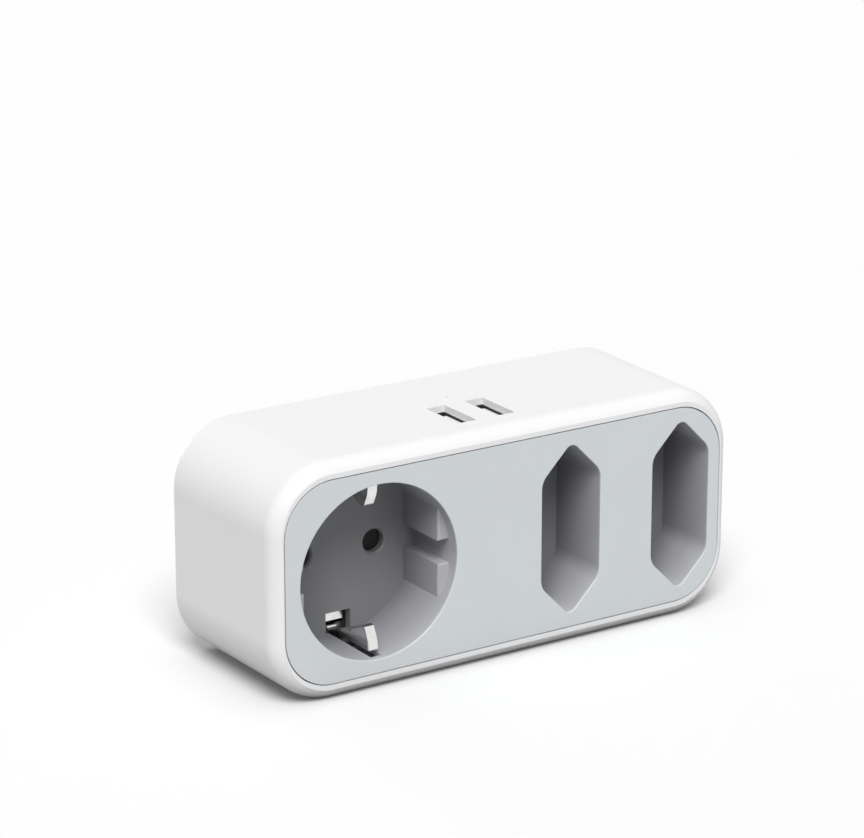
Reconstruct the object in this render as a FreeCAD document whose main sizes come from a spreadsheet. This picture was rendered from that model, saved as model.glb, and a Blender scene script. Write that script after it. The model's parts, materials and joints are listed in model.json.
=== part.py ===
"""Travel adapter: a white block with a grounded plug on its back and five outlets.

Millimetres. +X is to the right seen from the front, +Y goes from the front panel to the
plug, +Z is up. The origin is the middle of the flat face that the adapter rests on,
half way between its front and rear faces. Depths are measured back from the front face.
"""
import FreeCAD, Part
import math
import os
import re

import Sketcher

V = FreeCAD.Vector

SIZES = {
    # Housing: outline seen from the front, walls, edges and seams. Joined solids overlap,
    # and cuts run past the material
    "body_wide": 123.0,
    "body_tall": 54.0,
    "body_deep": 41.6,
    "body_corner": 14.9,
    "side_draft": 0.9,
    "shell_wall": 2.4,
    "edge_round": 4.2,
    "edge_slice": 0.35,
    "rear_round": 1.0,
    "panel_inset": 3.9,
    "panel_corner": 11.9,
    "panel_gap": 0.28,
    "panel_thick": 2.2,
    "cover_gap": 0.2,
    "cover_thick": 2.2,
    "rim_bevel": 0.12,
    "overlap": 0.5,
    "cut_past": 1.0,
    # Screws that close the housing, in posts near its four corners
    "post_side": 7.7,
    "post_edge": 8.2,
    "post_rad": 3.0,
    "post_front": 22.5,
    "screw_rad": 1.0,
    "screw_clear": 0.1,
    "thread_clear": 0.03,
    "screw_head_rad": 1.9,
    "screw_head_tall": 1.4,
    "screw_tip_depth": 25.0,
    "cross_long": 2.2,
    "cross_wide": 0.5,
    "cross_deep": 0.8,
    "shank_lap": 0.2,
    "thread_extra": 0.5,
    # Ledge that the front panel's edge lies against
    "ledge_inset": 4.9,
    "ledge_deep": 1.8,
    # Round well, its pin holes and its keys
    "well_wall": 1.0,
    "schuko_place": -33.9,
    "schuko_rad": 20.0,
    "schuko_depth": 17.5,
    "schuko_floor": 2.0,
    "schuko_hole": 2.7,
    "pin_pitch": 19.0,
    "hole_bevel": 0.45,
    "key_flat": 17.1,
    "key_depth": 3.3,
    "key_notch": 2.7,
    "key_sink": 0.9,
    "key_bevel": 0.3,
    # Flat wells
    "euro_left": 16.5,
    "euro_right": 46.8,
    "euro_tall": 41.0,
    "euro_wide": 15.9,
    "euro_side": 24.85,
    "euro_depth": 17.0,
    "euro_floor": 1.6,
    "euro_hole": 2.5,
    "euro_tip_round": 2.0,
    "euro_side_round": 4.5,
    # Earth clips and the openings that they work in; a rise is measured from mid height
    "clip_wide": 2.4,
    "clip_thick": 0.5,
    "clip_bend": 0.9,
    "clip_foot": 1.5,
    "clip_seat": 0.1,
    "clip_root_rise": 20.0,
    "clip_apex_depth": 5.0,
    "clip_apex_rise": 13.7,
    "clip_leg_bend": 4.0,
    "clip_leg_depth": 3.4,
    "clip_leg_rise": 16.9,
    "clip_tip_depth": 3.15,
    "clip_tip_rise": 18.9,
    "slot_wide": 2.8,
    "slot_depth": 1.9,
    "slot_inner": 18.5,
    "slot_reach": 22.5,
    "notch_wide": 6.4,
    "notch_rise": 14.5,
    # Earth strip
    "strip_gap": 0.2,
    "strip_thick": 0.6,
    "strip_wide": 12.0,
    "strip_hole": 4.2,
    "tab_wide": 4.6,
    "tab_proud": 1.5,
    "tab_slope": 0.8,
    "tab_low_rise": 15.2,
    "tab_high_rise": 17.1,
    "tab_window_wide": 6.4,
    "tab_window_tall": 1.4,
    "arm_tall": 5.0,
    "foot_reach": 3.4,
    "foot_extra": 1.0,
    # Turning shutter of the round well
    "disc_rad": 13.0,
    "disc_thick": 1.0,
    "disc_gap": 0.1,
    "disc_turn": 40.0,
    "disc_play": 0.05,
    "pivot_rad": 1.8,
    "pivot_clear": 0.08,
    "pivot_screw_rad": 0.9,
    "pivot_screw_long": 2.4,
    "pivot_head_rad": 2.6,
    "pivot_head_tall": 1.2,
    "pivot_thread_extra": 0.1,
    "disc_spring_rad": 3.6,
    "disc_spring_wire": 0.5,
    "disc_spring_gap": 0.1,
    # Sliding shutters of the flat wells, in one guide
    "slider_rim": 1.0,
    "slider_thick": 1.6,
    "slider_gap": 0.1,
    "slider_travel": 5.4,
    "slider_edge": 0.8,
    "slider_inner": 3.6,
    "guide_thick": 1.4,
    "guide_hole": 2.7,
    "guide_rail": 1.2,
    "guide_side_gap": 0.2,
    "guide_margin": 8.6,
    "guide_post_rad": 2.0,
    "guide_post_rise": 10.0,
    "guide_screw_rad": 0.9,
    "guide_screw_long": 6.0,
    "guide_head_rad": 1.7,
    "guide_head_tall": 1.1,
    "spring_stop_wide": 2.0,
    "spring_stop_tall": 4.0,
    "slider_spring_rad": 0.7,
    "slider_spring_gap": 0.1,
    # Contacts, bus strips and the carrier behind them
    "contact_long": 11.5,
    "contact_tall": 5.0,
    "contact_base": 3.0,
    "contact_pinch": 2.3,
    "contact_flare": 2.9,
    "contact_thick": 0.5,
    "pinch_back": 2.5,
    "bar_thick": 0.8,
    "bar_wide": 5.0,
    "neutral_drop": 16.2,
    "neutral_tall": 4.0,
    "live_tab_past": 1.0,
    "neutral_tab_past": 0.7,
    "carrier_thick": 2.0,
    "carrier_wide": 99.0,
    "carrier_tall": 38.8,
    "slot_clear": 0.05,
    # Grounded plug
    "boss_rad": 18.0,
    "boss_thick": 6.0,
    "boss_round": 0.8,
    "blade_pitch": 12.7,
    "blade_wide": 6.35,
    "blade_thick": 1.5,
    "blade_long": 17.5,
    "blade_rise": 2.4,
    "blade_taper": 1.3,
    "blade_bevel": 0.4,
    "blade_hole": 1.55,
    "blade_hole_back": 3.6,
    "blade_inner": 1.0,
    "earth_pin_rad": 2.38,
    "earth_pin_long": 21.0,
    "earth_pin_drop": 9.5,
    "earth_pin_inner": 1.5,
    "earth_pin_root_rad": 2.1,
    # Charger: windows, receptacles, board and the parts on it
    "usb_left": -6.05,
    "usb_right": 4.1,
    "usb_front": 8.05,
    "usb_long": 12.75,
    "usb_thin": 4.8,
    "window_lip": 1.6,
    "window_room": 0.3,
    "usb_under": 0.1,
    "usb_tall": 10.4,
    "usb_sheet": 0.35,
    "usb_inner_extra": 0.15,
    "usb_base_tall": 1.5,
    "usb_fit": 0.05,
    "tongue_long": 10.9,
    "tongue_thick": 1.84,
    "tongue_side": 0.45,
    "tongue_below": 0.35,
    "tongue_bevel": 0.6,
    "strip_pitch": 2.3,
    "gold_wide": 1.0,
    "gold_thick": 0.15,
    "gold_below": 1.2,
    "lamp_place": 0.1,
    "lamp_depth": 25.7,
    "lamp_hole": 0.45,
    "lamp_side": 1.6,
    "lamp_tall": 0.8,
    "pipe_rad": 1.0,
    "pipe_tip_rad": 0.4,
    "pipe_tip_below": 0.5,
    "pipe_gap": 0.1,
    "board_thick": 1.6,
    "board_left": -16.0,
    "board_right": 7.5,
    "board_front": 7.0,
    "board_back": 34.5,
    "board_post_rad": 2.0,
    "board_post_left": -13.0,
    "board_post_right": 2.6,
    "board_post_near": 10.0,
    "board_post_far": 31.4,
    "board_post_end": 32.2,
    "board_screw_rad": 0.9,
    "board_screw_long": 5.0,
    "board_head_rad": 1.6,
    "board_head_tall": 1.1,
    "core_place": -2.5,
    "core_front": 8.5,
    "core_wide": 14.0,
    "core_deep": 10.0,
    "core_tall": 12.0,
    "core_leg": 4.0,
    "core_outer_leg": 2.0,
    "core_yoke": 2.3,
    "winding_gap": 0.2,
    "winding_proud": 2.7,
    "capacitor_depth": 25.5,
    "input_capacitor_rad": 3.15,
    "input_capacitor_tall": 11.0,
    "input_capacitor_one": -9.5,
    "input_capacitor_two": -2.5,
    "output_capacitor_rad": 2.5,
    "output_capacitor_tall": 8.0,
    "output_capacitor_place": 4.2,
    "rectifier_place": -12.3,
    "rectifier_front": 14.0,
    "rectifier_wide": 4.0,
    "rectifier_long": 6.0,
    "rectifier_tall": 2.0,
    "chip_place": -3.2,
    "chip_front": 27.0,
    "chip_wide": 4.9,
    "chip_long": 3.9,
    "chip_tall": 1.5,
    "fuse_place": -9.0,
    "fuse_front": 24.5,
    "fuse_long": 6.0,
    "fuse_rad": 1.5,
    "fuse_lift": 0.1,
    "lead_rad": 0.6,
    "lead_bend": 1.2,
    "live_lead_place": -10.2,
    "live_lead_out": 2.2,
    "neutral_lead_out": 1.5,
    "neutral_lead_gap": 0.1,
}

# Places that many pieces share, as expressions of the sizes
MID = "(body_tall / 2)"
REAR = "(body_deep / 2)"
COVER_FRONT = "(body_deep - cover_thick)"
CARRIER_FRONT = f"({COVER_FRONT} - carrier_thick)"
BAR_FRONT = f"({CARRIER_FRONT} - bar_thick)"
POST_X = "(body_wide / 2 - post_side)"
POST_RISE = "(body_tall / 2 - post_edge)"
SCHUKO_BACK = "(schuko_depth + schuko_floor)"
EURO_BACK = "(euro_depth + euro_floor)"
GUIDE_FRONT = f"({EURO_BACK} + slider_gap + slider_thick + slider_gap)"
GUIDE_MIDDLE = "((euro_left + euro_right) / 2)"
DISC_FRONT = f"({SCHUKO_BACK} + disc_gap)"
DISC_BACK = f"({DISC_FRONT} + disc_thick)"
STRIP_STACK = ("schuko_depth", "schuko_floor", "disc_gap", "disc_thick", "strip_gap")
STRIP_FRONT = f"({' + '.join(STRIP_STACK)})"
SLIDER_TALL = "(pin_pitch + 2 * (euro_hole + slider_rim))"
PIVOT_END = f"({DISC_BACK} + disc_play)"
BLADE_Z = f"({MID} + blade_rise)"
EARTH_PIN_Z = f"({MID} - earth_pin_drop)"
SHELL_TOP = "(body_tall - shell_wall)"
BOARD_TOP = "(body_tall - window_lip - usb_under - usb_tall)"
BOARD_UNDER = f"({BOARD_TOP} - board_thick)"
USB_MIDDLE = "(usb_front + usb_long / 2)"
BOARD_POSTS = (
    ("board_post_left", "board_post_near"),
    ("board_post_left", "board_post_far"),
    ("board_post_right", "board_post_end"),
)
USB_STRIPS = 4
CLOSE = 1e-4

doc = FreeCAD.newDocument("travel_adapter")
sheet = doc.addObject("Spreadsheet::Sheet", "Sizes")
for row, (alias, number) in enumerate(SIZES.items(), start=1):
    sheet.set(f"A{row}", alias)
    sheet.set(f"B{row}", str(number))
    sheet.setAlias(f"B{row}", alias)
doc.recompute()

pieces = []


def sized(text):
    """The expression with every size read from the sheet."""
    return re.sub(r"[a-z_]+", lambda found: _cell(found.group()), str(text))


def _cell(word):
    return f"Sizes.{word}" if word in SIZES else word


def bind(item, target, text):
    item.setExpression(target, sized(text))


def depth(text):
    """Y of a depth behind the front face."""
    return f"({text} - body_deep / 2)"


def label(item, name):
    """Makes the object a sub-part of the adapter."""
    item.Label = name
    pieces.append(item)
    return item


# Plain solids and their booleans


def block(name, x, y, z):
    """Box between two values on each axis."""
    box = doc.addObject("Part::Box", name)
    for side, place, (low, high) in (("Length", "x", x), ("Width", "y", y), ("Height", "z", z)):
        bind(box, side, f"({high}) - ({low})")
        bind(box, f"Placement.Base.{place}", low)
    return box


def around(middle, whole):
    """The two ends of a length that is centred on a value."""
    return f"({middle}) - ({whole}) / 2", f"({middle}) + ({whole}) / 2"


def rod(name, x, y, z, radius, length, along="Z"):
    """Cylinder that starts at a point and runs along +X, +Y or +Z."""
    cylinder = doc.addObject("Part::Cylinder", name)
    if along == "Y":
        cylinder.Placement.Rotation = FreeCAD.Rotation(V(1, 0, 0), -90)
    if along == "X":
        cylinder.Placement.Rotation = FreeCAD.Rotation(V(0, 1, 0), 90)
    bind(cylinder, "Radius", radius)
    bind(cylinder, "Height", length)
    for place, text in (("x", x), ("y", y), ("z", z)):
        bind(cylinder, f"Placement.Base.{place}", text)
    return cylinder


def fuse(name, shapes):
    joined = doc.addObject("Part::MultiFuse", name)
    joined.Shapes = shapes
    return joined


def group(name, shapes):
    """Separate identical solids that share one node."""
    together = doc.addObject("Part::Compound", name)
    together.Links = shapes
    return together


def cut(name, base, tools):
    removed = tools[0] if len(tools) == 1 else fuse(f"{name}_cuts", tools)
    result = doc.addObject("Part::Cut", name)
    result.Base = base
    result.Tool = removed
    return result


# Bodies made from sketches


def new_body(name):
    return doc.addObject("PartDesign::Body", name)


def sketch_on(body, name, role, offset):
    """Sketch on an origin plane of its body, moved along the plane's normal."""
    sketch = body.newObject("Sketcher::SketchObject", name)
    plane = next(item for item in body.Origin.OriginFeatures if item.Role == role)
    sketch.AttachmentSupport = (plane, [""])
    sketch.MapMode = "FlatFace"
    bind(sketch, "AttachmentOffset.Base.z", offset)
    return sketch


def front_sketch(body, name, at_depth):
    """Sketch seen from the front: x is X and y is Z. Its normal points at the viewer."""
    return sketch_on(body, name, "XZ_Plane", f"-({depth(at_depth)})")


def top_sketch(body, name, height):
    """Sketch seen from above: x is X and y is Y."""
    return sketch_on(body, name, "XY_Plane", height)


def side_sketch(body, name, place):
    """Sketch seen from the right: x is Y and y is Z."""
    return sketch_on(body, name, "YZ_Plane", place)


def hold_point(sketch, geometry, point, x, y):
    """Fixes a point of the sketch at two expressions."""
    place = sketch.getPoint(geometry, point)
    for kind, at, text in (("DistanceX", place.x, x), ("DistanceY", place.y, y)):
        number = sketch.addConstraint(Sketcher.Constraint(kind, -1, 1, geometry, point, at))
        bind(sketch, f"Constraints[{number}]", text)


def outline(sketch, points):
    """Closed outline of straight lines through points given as expressions."""
    start = V(1, 0, 0)
    turn = FreeCAD.Rotation(V(0, 0, 1), 360 / len(points))
    corners = [start]
    for _ in points[1:]:
        corners.append(turn.multVec(corners[-1]))
    first = sketch.GeometryCount
    for index, corner in enumerate(corners):
        following = corners[(index + 1) % len(corners)]
        sketch.addGeometry(Part.LineSegment(corner, following))
    for index, (x, y) in enumerate(points):
        line = first + index
        after = first + (index + 1) % len(points)
        sketch.addConstraint(Sketcher.Constraint("Coincident", line, 2, after, 1))
        hold_point(sketch, line, 1, x, y)


def rectangle(sketch, x, y):
    (left, right), (low, high) = x, y
    outline(sketch, ((left, low), (right, low), (right, high), (left, high)))


def circle(sketch, x, y, radius):
    number = sketch.addGeometry(Part.Circle(V(1, 1, 0), V(0, 0, 1), 1))
    hold_point(sketch, number, 3, x, y)
    held = sketch.addConstraint(Sketcher.Constraint("Radius", number, 1))
    bind(sketch, f"Constraints[{held}]", radius)


def pad(body, sketch, length, back=True):
    """Adds material along +Y from a front sketch, or along the normal of another."""
    feature = body.newObject("PartDesign::Pad", f"{sketch.Name}_pad")
    feature.Profile = sketch
    bind(feature, "Length", length)
    feature.Reversed = back
    doc.recompute()
    return feature


def pocket(body, sketch, length, back=True):
    """Cuts along +Y from a front sketch, or against the normal of another."""
    before = body.Shape.Volume
    feature = body.newObject("PartDesign::Pocket", f"{sketch.Name}_pocket")
    feature.Profile = sketch
    bind(feature, "Length", length)
    feature.Reversed = not back
    doc.recompute()
    if not body.Shape.Volume < before:
        raise RuntimeError(f"{feature.Name} cuts nothing")
    return feature


def edges_where(shape, test):
    return [f"Edge{number}" for number, edge in enumerate(shape.Edges, start=1) if test(edge)]


def runs_along(edge, direction):
    """True for a straight edge in a direction."""
    if edge.Curve.TypeId != "Part::GeomLine":
        return False
    return abs(abs(edge.Curve.Direction * direction) - 1) < 1e-6


def round_edges(body, name, radius, test):
    base = body.Tip
    feature = body.newObject("PartDesign::Fillet", name)
    feature.Base = (base, edges_where(base.Shape, test))
    bind(feature, "Radius", radius)
    doc.recompute()
    return feature


def bevel_edges(body, name, size, test):
    base = body.Tip
    feature = body.newObject("PartDesign::Chamfer", name)
    feature.Base = (base, edges_where(base.Shape, test))
    bind(feature, "Size", size)
    doc.recompute()
    return feature


def lies_at(edge, axis, value):
    """True for an edge whose every point has one value on an axis."""
    box = edge.BoundBox
    low, high = {"x": (box.XMin, box.XMax), "y": (box.YMin, box.YMax), "z": (box.ZMin, box.ZMax)}[axis]
    return abs(low - value) < CLOSE and abs(high - value) < CLOSE


def size(name):
    return float(sheet.get(name))


def inset_rectangle(body, name, at_depth, inset, corner, thick):
    """Plate with the housing's outline, drawn in by an inset and rounded at its corners."""
    plate = front_sketch(body, name, at_depth)
    across = (f"-body_wide / 2 + ({inset})", f"body_wide / 2 - ({inset})")
    rectangle(plate, across, (inset, f"body_tall - ({inset})"))
    pad(body, plate, thick)
    round_edges(body, f"{name}_corners", corner, lambda edge: runs_along(edge, V(0, 1, 0)))


def at_corners(action):
    """Calls an action at the four screw posts."""
    for side in "+-":
        for rise in "+-":
            action(f"0 {side} {POST_X}", f"{MID} {rise} {POST_RISE}")


# Housing


def shell_block():
    """Solid with the housing's outer form. Its two sides draw in towards the front.

    The front edge is a round, cut off by the flat front.
    """
    body = new_body("shell_outer")
    wedge = body.newObject("PartDesign::AdditiveWedge", "shell_block")
    ends = (("Y", depth("-edge_slice"), depth("body_deep")),
            ("X", "side_draft - body_wide / 2", "body_wide / 2 - side_draft"),
            ("Z", "0", "body_tall"),
            ("X2", "-body_wide / 2", "body_wide / 2"),
            ("Z2", "0", "body_tall"))
    for side, low, high in ends:
        bind(wedge, f"{side}min", low)
        bind(wedge, f"{side}max", high)
    doc.recompute()
    round_edges(body, "shell_corners", "body_corner",
                lambda edge: edge.BoundBox.YLength > size("body_deep"))
    nose = -size("body_deep") / 2 - size("edge_slice")
    round_edges(body, "shell_front_round", "edge_round", lambda edge: lies_at(edge, "y", nose))
    slice_off = front_sketch(body, "shell_slice", "-edge_slice")
    rectangle(slice_off, ("-body_wide", "body_wide"), ("-body_tall", "body_tall * 2"))
    pocket(body, slice_off, "edge_slice")
    tail = size("body_deep") / 2
    round_edges(body, "shell_rear_round", "rear_round", lambda edge: lies_at(edge, "y", tail))
    return body


def shell_hollows():
    """Room inside the housing, the panel's opening in its front, and the ledge between them."""
    ledge = ("panel_thick", "panel_thick + ledge_deep")
    layers = (
        ("opening", "-edge_slice", "panel_thick", "panel_inset - panel_gap", "panel_corner + panel_gap"),
        ("ledge_hole", "0", ledge[1], "ledge_inset", "panel_corner + panel_inset - ledge_inset"),
        ("room", ledge[1], "body_deep + edge_slice", "shell_wall", "body_corner - shell_wall"),
    )
    hollows = []
    for name, start, end, inset, corner in layers:
        body = new_body(f"shell_{name}")
        inset_rectangle(body, f"{name}_block", start, inset, corner, f"{end} - ({start})")
        hollows.append(body)
    return hollows


def main_shell():
    """Tube-shaped housing with its screw posts, the board's hangers and the windows on top."""
    tube = cut("shell_tube", shell_block(), shell_hollows())

    added = [tube]
    cuts = []

    def post(x, z):
        number = len(cuts) + 1
        added.append(rod(f"shell_post_{number}", x, depth("post_front"), z, "post_rad",
                         f"{COVER_FRONT} - post_front", along="Y"))
        cuts.append(rod(f"shell_post_hole_{number}", x, depth("screw_tip_depth - thread_extra"), z,
                        "screw_rad + thread_clear", "body_deep", along="Y"))
    at_corners(post)
    for number, (x, far) in enumerate(BOARD_POSTS, start=1):
        added.append(rod(f"board_hanger_{number}", x, depth(far), BOARD_TOP, "board_post_rad",
                         f"{SHELL_TOP} - {BOARD_TOP} + overlap"))
        cuts.append(rod(f"board_hanger_hole_{number}", x, depth(far), f"{BOARD_TOP} - cut_past",
                        "board_screw_rad + thread_clear",
                        "board_screw_long - board_thick + cut_past + thread_extra"))
    through = (f"{SHELL_TOP} - overlap", "body_tall + cut_past")
    sleeve_extra = "2 * (usb_inner_extra + usb_sheet + window_room)"
    for side in ("left", "right"):
        place = f"usb_{side}"
        y = depth(USB_MIDDLE)
        cuts.append(block(f"usb_window_{side}", around(place, "usb_thin"), around(y, "usb_long"), through))
        cuts.append(block(f"usb_recess_{side}", around(place, f"usb_thin + {sleeve_extra}"),
                          around(y, f"usb_long + {sleeve_extra}"), (through[0], "body_tall - window_lip")))
    cuts.append(rod("lamp_window", "lamp_place", depth("lamp_depth"), through[0], "lamp_hole",
                    "shell_wall + cut_past"))
    return label(cut("main_shell", fuse("shell_solid", added), cuts), "main_shell")


def hexagon(middle, grow):
    """Corners of a flat well, its sides moved out by a wall."""
    half = "(euro_wide / 2)"
    tip = "(euro_tall / 2)"
    side = "(euro_side / 2)"
    slant = f"sqrt(({half}) ^ 2 + ({tip} - {side}) ^ 2)"
    outer_tip = f"({tip} + {grow} * {slant} / {half})"
    outer_half = f"({half} + {grow})"
    outer_side = f"({outer_tip} - ({tip} - {side}) / {half} * {outer_half})"
    return (
        (middle, f"{MID} + {outer_tip}"),
        (f"{middle} - {outer_half}", f"{MID} + {outer_side}"),
        (f"{middle} - {outer_half}", f"{MID} - {outer_side}"),
        (middle, f"{MID} - {outer_tip}"),
        (f"{middle} + {outer_half}", f"{MID} - {outer_side}"),
        (f"{middle} + {outer_half}", f"{MID} + {outer_side}"),
    )


def key_outline(sketch, side, rise):
    """One key at a side of the round well. Its outer end lies inside the wall."""
    reach = "(schuko_rad + well_wall * key_sink)"
    end = f"sqrt({reach} ^ 2 - key_flat ^ 2)"
    middle = f"((key_notch + {end}) / 2)"
    corners = (
        ("key_flat", "key_notch"),
        (f"sqrt({reach} ^ 2 - key_notch ^ 2)", "key_notch"),
        (f"sqrt({reach} ^ 2 - {middle} ^ 2)", middle),
        ("key_flat", end),
    )
    outline(sketch, [(f"schuko_place {side} {x}", f"{MID} {rise} {z}") for x, z in corners])


def front_panel():
    """Front plate with the three wells moulded on its back."""
    body = new_body("front_panel")
    inset_rectangle(body, "panel_plate", "0", "panel_inset", "panel_corner", "panel_thick")

    cup = front_sketch(body, "schuko_cup", "0")
    circle(cup, "schuko_place", MID, "schuko_rad + well_wall")
    pad(body, cup, SCHUKO_BACK)
    for name, middle in (("left", "euro_left"), ("right", "euro_right")):
        cup = front_sketch(body, f"euro_cup_{name}", "0")
        outline(cup, hexagon(middle, "well_wall"))
        pad(body, cup, EURO_BACK)

    well = front_sketch(body, "schuko_well", "0")
    circle(well, "schuko_place", MID, "schuko_rad")
    pocket(body, well, "schuko_depth")
    keys = front_sketch(body, "schuko_keys", "key_depth")
    for side in "+-":
        for rise in "+-":
            key_outline(keys, side, rise)
    pad(body, keys, "schuko_depth - key_depth + overlap")
    key_front = size("key_depth") - size("body_deep") / 2
    bevel_edges(body, "key_edges", "key_bevel", lambda edge: (
        lies_at(edge, "y", key_front) and isinstance(edge.Curve, Part.Line)))

    for name, middle in (("left", "euro_left"), ("right", "euro_right")):
        well = front_sketch(body, f"euro_well_{name}", "0")
        outline(well, hexagon(middle, "0"))
        pocket(body, well, "euro_depth")
        centre = size(middle)

        def in_well(edge, at_tip):
            box = edge.BoundBox
            deep_enough = abs(box.YLength - size("euro_depth")) < CLOSE
            near = abs(box.XMin - centre) < size("euro_wide")
            return runs_along(edge, V(0, 1, 0)) and deep_enough and near and \
                (abs(box.XMin - centre) < CLOSE) == at_tip
        round_edges(body, f"euro_tips_{name}", "euro_tip_round", lambda edge: in_well(edge, True))
        round_edges(body, f"euro_sides_{name}", "euro_side_round", lambda edge: in_well(edge, False))

    for name, sign in (("top", "+"), ("bottom", "-")):
        slot = front_sketch(body, f"clip_slot_{name}", "slot_depth")
        rectangle(slot, around("schuko_place", "slot_wide"),
                  (f"{MID} {sign} slot_inner", f"{MID} {sign} slot_reach"))
        pocket(body, slot, f"{SCHUKO_BACK} - slot_depth + cut_past")
        notch = front_sketch(body, f"clip_notch_{name}", "schuko_depth - overlap")
        rectangle(notch, around("schuko_place", "notch_wide"),
                  (f"{MID} {sign} notch_rise", f"{MID} {sign} clip_root_rise"))
        pocket(body, notch, "schuko_floor + overlap + cut_past")

    holes = front_sketch(body, "schuko_holes", "schuko_depth - overlap")
    for side in "+-":
        circle(holes, f"schuko_place {side} pin_pitch / 2", MID, "schuko_hole")
    pocket(body, holes, "schuko_floor + overlap + cut_past")
    holes = front_sketch(body, "euro_holes", "euro_depth - overlap")
    for middle in ("euro_left", "euro_right"):
        for rise in "+-":
            circle(holes, middle, f"{MID} {rise} pin_pitch / 2", "euro_hole")
    pocket(body, holes, "euro_floor + overlap + cut_past")

    bosses = front_sketch(body, "guide_posts", "panel_thick - overlap")
    for rise in "+-":
        circle(bosses, GUIDE_MIDDLE, f"{MID} {rise} guide_post_rise", "guide_post_rad")
    pad(body, bosses, f"{GUIDE_FRONT} - panel_thick + overlap")
    threads = front_sketch(body, "guide_threads", f"{GUIDE_FRONT} - guide_screw_long")
    for rise in "+-":
        circle(threads, GUIDE_MIDDLE, f"{MID} {rise} guide_post_rise", "guide_screw_rad + thread_clear")
    pocket(body, threads, "guide_screw_long + cut_past")

    pivot = front_sketch(body, "shutter_pivot", f"{SCHUKO_BACK} - overlap")
    circle(pivot, "schuko_place", MID, "pivot_rad")
    pad(body, pivot, f"{PIVOT_END} - {SCHUKO_BACK} + overlap")
    thread = front_sketch(body, "shutter_pivot_thread",
                          f"{PIVOT_END} - pivot_screw_long - pivot_thread_extra")
    circle(thread, "schuko_place", MID, "pivot_screw_rad + thread_clear")
    pocket(body, thread, "pivot_screw_long + cut_past")

    floor_y = size("schuko_depth") - size("body_deep") / 2
    bevel_edges(body, "pin_hole_bevels", "hole_bevel", lambda edge: lies_at(edge, "y", floor_y)
                and edge.Curve.TypeId == "Part::GeomCircle"
                and abs(edge.Curve.Radius - size("schuko_hole")) < CLOSE)
    front_y = -size("body_deep") / 2
    margin = size("panel_inset")
    near = size("overlap")

    def on_well_rim(edge):
        """An edge of the front face that isn't the plate's own outline."""
        if not lies_at(edge, "y", front_y):
            return False
        box = edge.BoundBox
        across = size("body_wide") / 2 - margin
        on_outline = box.XMin < margin - size("body_wide") / 2 + near or box.XMax > across - near \
            or box.ZMin < margin + near or box.ZMax > size("body_tall") - margin - near
        return not on_outline
    bevel_edges(body, "well_rims", "rim_bevel", on_well_rim)
    return label(body, "front_panel")


def rear_cover():
    """Back plate with the round boss that the plug's blades and pin come out of."""
    body = new_body("rear_cover")
    inset_rectangle(body, "cover_plate", COVER_FRONT, "shell_wall + cover_gap",
                    "body_corner - shell_wall - cover_gap", "cover_thick")
    boss = front_sketch(body, "plug_boss", COVER_FRONT)
    circle(boss, "0", MID, "boss_rad")
    pad(body, boss, "cover_thick + boss_thick")
    end = size("body_deep") / 2 + size("boss_thick")
    round_edges(body, "boss_edge", "boss_round", lambda edge: lies_at(edge, "y", end))
    slots = front_sketch(body, "cover_blade_slots", COVER_FRONT)
    for side in "+-":
        rectangle(slots, around(f"{side}blade_pitch / 2", "blade_thick + 2 * slot_clear"),
                  around(BLADE_Z, "blade_wide + 2 * slot_clear"))
    pocket(body, slots, "cover_thick + boss_thick + cut_past")
    hole = front_sketch(body, "cover_pin_hole", COVER_FRONT)
    circle(hole, "0", EARTH_PIN_Z, "earth_pin_root_rad + slot_clear")
    pocket(body, hole, "cover_thick + boss_thick + cut_past")
    holes = front_sketch(body, "cover_screw_holes", COVER_FRONT)
    at_corners(lambda x, z: circle(holes, x, z, "screw_rad + screw_clear"))
    pocket(body, holes, "cover_thick + cut_past")
    sinks = front_sketch(body, "cover_screw_sinks", "body_deep - screw_head_tall")
    at_corners(lambda x, z: circle(sinks, x, z, "screw_head_rad + screw_clear"))
    pocket(body, sinks, "screw_head_tall + cut_past")
    return label(body, "rear_cover")


def housing_screws():
    """Four screws from the back into the housing's posts."""
    screws = []

    def screw(x, z):
        number = len(screws) + 1
        shank = rod(f"housing_shank_{number}", x, depth("screw_tip_depth"), z, "screw_rad",
                    "body_deep - screw_head_tall - screw_tip_depth + shank_lap", along="Y")
        head = rod(f"housing_head_{number}", x, depth("body_deep - screw_head_tall"), z,
                   "screw_head_rad", "screw_head_tall", along="Y")
        sunk = (depth("body_deep - cross_deep"), depth("body_deep + cut_past"))
        across = block(f"housing_cross_{number}", around(x, "cross_long"), sunk, around(z, "cross_wide"))
        upright = block(f"housing_upright_{number}", around(x, "cross_wide"), sunk, around(z, "cross_long"))
        whole = fuse(f"housing_screw_{number}_solid", [shank, head])
        screws.append(cut(f"housing_screw_{number}", whole, [across, upright]))
    at_corners(screw)
    return label(group("housing_screws", screws), "housing_screws")


# Grounded plug


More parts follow.
